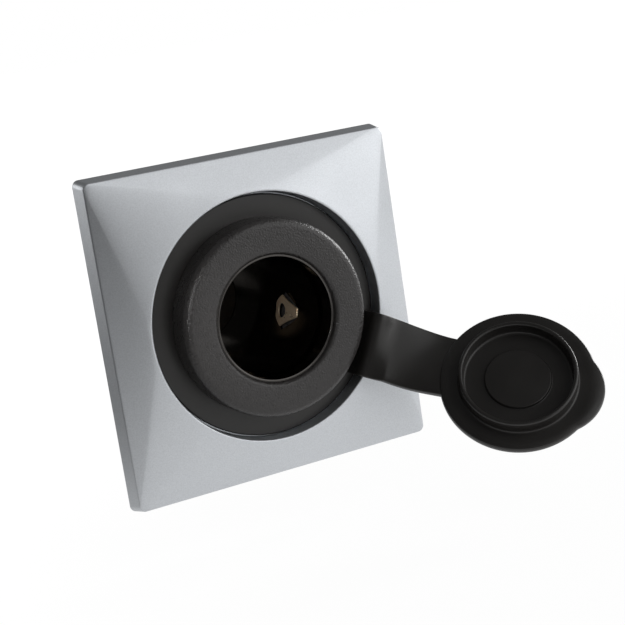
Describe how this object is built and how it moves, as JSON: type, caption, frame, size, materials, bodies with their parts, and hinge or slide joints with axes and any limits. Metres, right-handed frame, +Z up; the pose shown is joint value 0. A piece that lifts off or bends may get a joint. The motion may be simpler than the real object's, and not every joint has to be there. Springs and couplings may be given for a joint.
{
  "type": "vehicle 12v power socket",
  "caption": "Square flush 12 volt accessory socket with a domed satin frame, a round black socket body and a tethered rubber dust cap on a flexible strap.",
  "frame": {"origin": "centre of the cover frame's back face, where the socket's axis meets the panel", "axes": "-Y out of the mouth towards the user, +Z up, +X to the user's right; the panel and the barrel are on the +Y side"},
  "size_m": [0.0822, 0.0809, 0.0596],
  "materials": {
    "satin_silver": "satin metallic paint on a moulding",
    "black_plastic": "fine sand texture",
    "nickel_steel": "bright nickel plate",
    "contact_brass": "bare rolled brass",
    "insulating_board": "pressed board",
    "cap_rubber": "matt soft rubber"
  },
  "bodies": {
    "root": {"cover_frame": "satin_silver", "socket_housing": "black_plastic", "contact_shell": "nickel_steel", "side_contact_right": "contact_brass", "side_contact_left": "contact_brass", "insulator_disc": "insulating_board", "center_contact": "contact_brass", "center_rivet": "contact_brass", "negative_rivet": "contact_brass", "rear_cap": "black_plastic", "positive_terminal": "nickel_steel", "negative_terminal": "nickel_steel", "nut_washer": "black_plastic", "retaining_nut": "black_plastic", "cap_ring": "cap_rubber", "strap_web": "cap_rubber"},
    "lid": {"cap_lid": "cap_rubber"}
  },
  "joints": [
    {"name": "lid_fold", "type": "hinge", "parent": "root", "child": "lid", "pos_m": [0.02144, -0.00887, -0.01092], "axis": [-0.4901, -0.2487, -0.8354], "range_deg": [0, 138.2], "stiffness_Nm_per_rad": 0.02, "deforming": ["strap_web"]}
  ]
}
